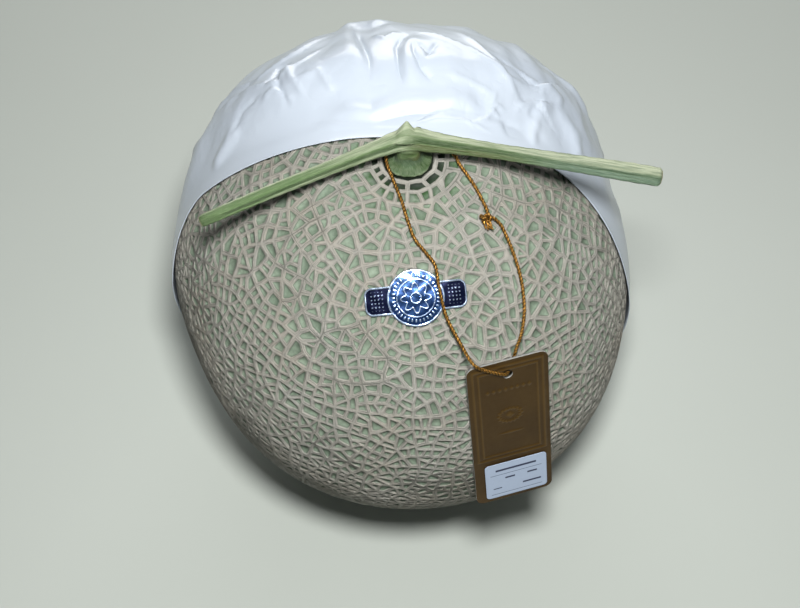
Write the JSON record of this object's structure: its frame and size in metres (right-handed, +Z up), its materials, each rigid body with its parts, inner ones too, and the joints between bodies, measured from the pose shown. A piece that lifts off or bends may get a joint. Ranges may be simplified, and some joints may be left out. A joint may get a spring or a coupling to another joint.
{
  "type": "muskmelon",
  "caption": "Netted muskmelon on a small flat spot, with its cut T-shaped vine stalk, a creased glossy film over its back, a foil seal, and a card tag on a gold cord.",
  "frame": {"origin": "middle of the flat resting spot, on the surface the fruit stands on", "axes": "+Z up through the stalk; -Y towards the front, where the seal and the tag are; +X to the right seen from the front"},
  "size_m": [0.1544, 0.166, 0.1627],
  "materials": {
    "rind": "dry netted rind: grey-green skin under a beige raised cork net",
    "vine": "green ribbed vine with pale hairs and cut ends",
    "film": "thin glossy white film with creases",
    "foil": "blue foil sticker with silver lines",
    "card": "brown-gold card with an embossed double border",
    "label_paper": "white paper label",
    "gold_cord": "twisted gold thread"
  },
  "bodies": {
    "root": {"fruit": "rind", "stem": "vine", "film_wrap": "film", "seal": "foil", "tag": "card", "tag_label": "label_paper", "cord": "gold_cord", "cord_knot": "gold_cord"}
  },
  "joints": []
}
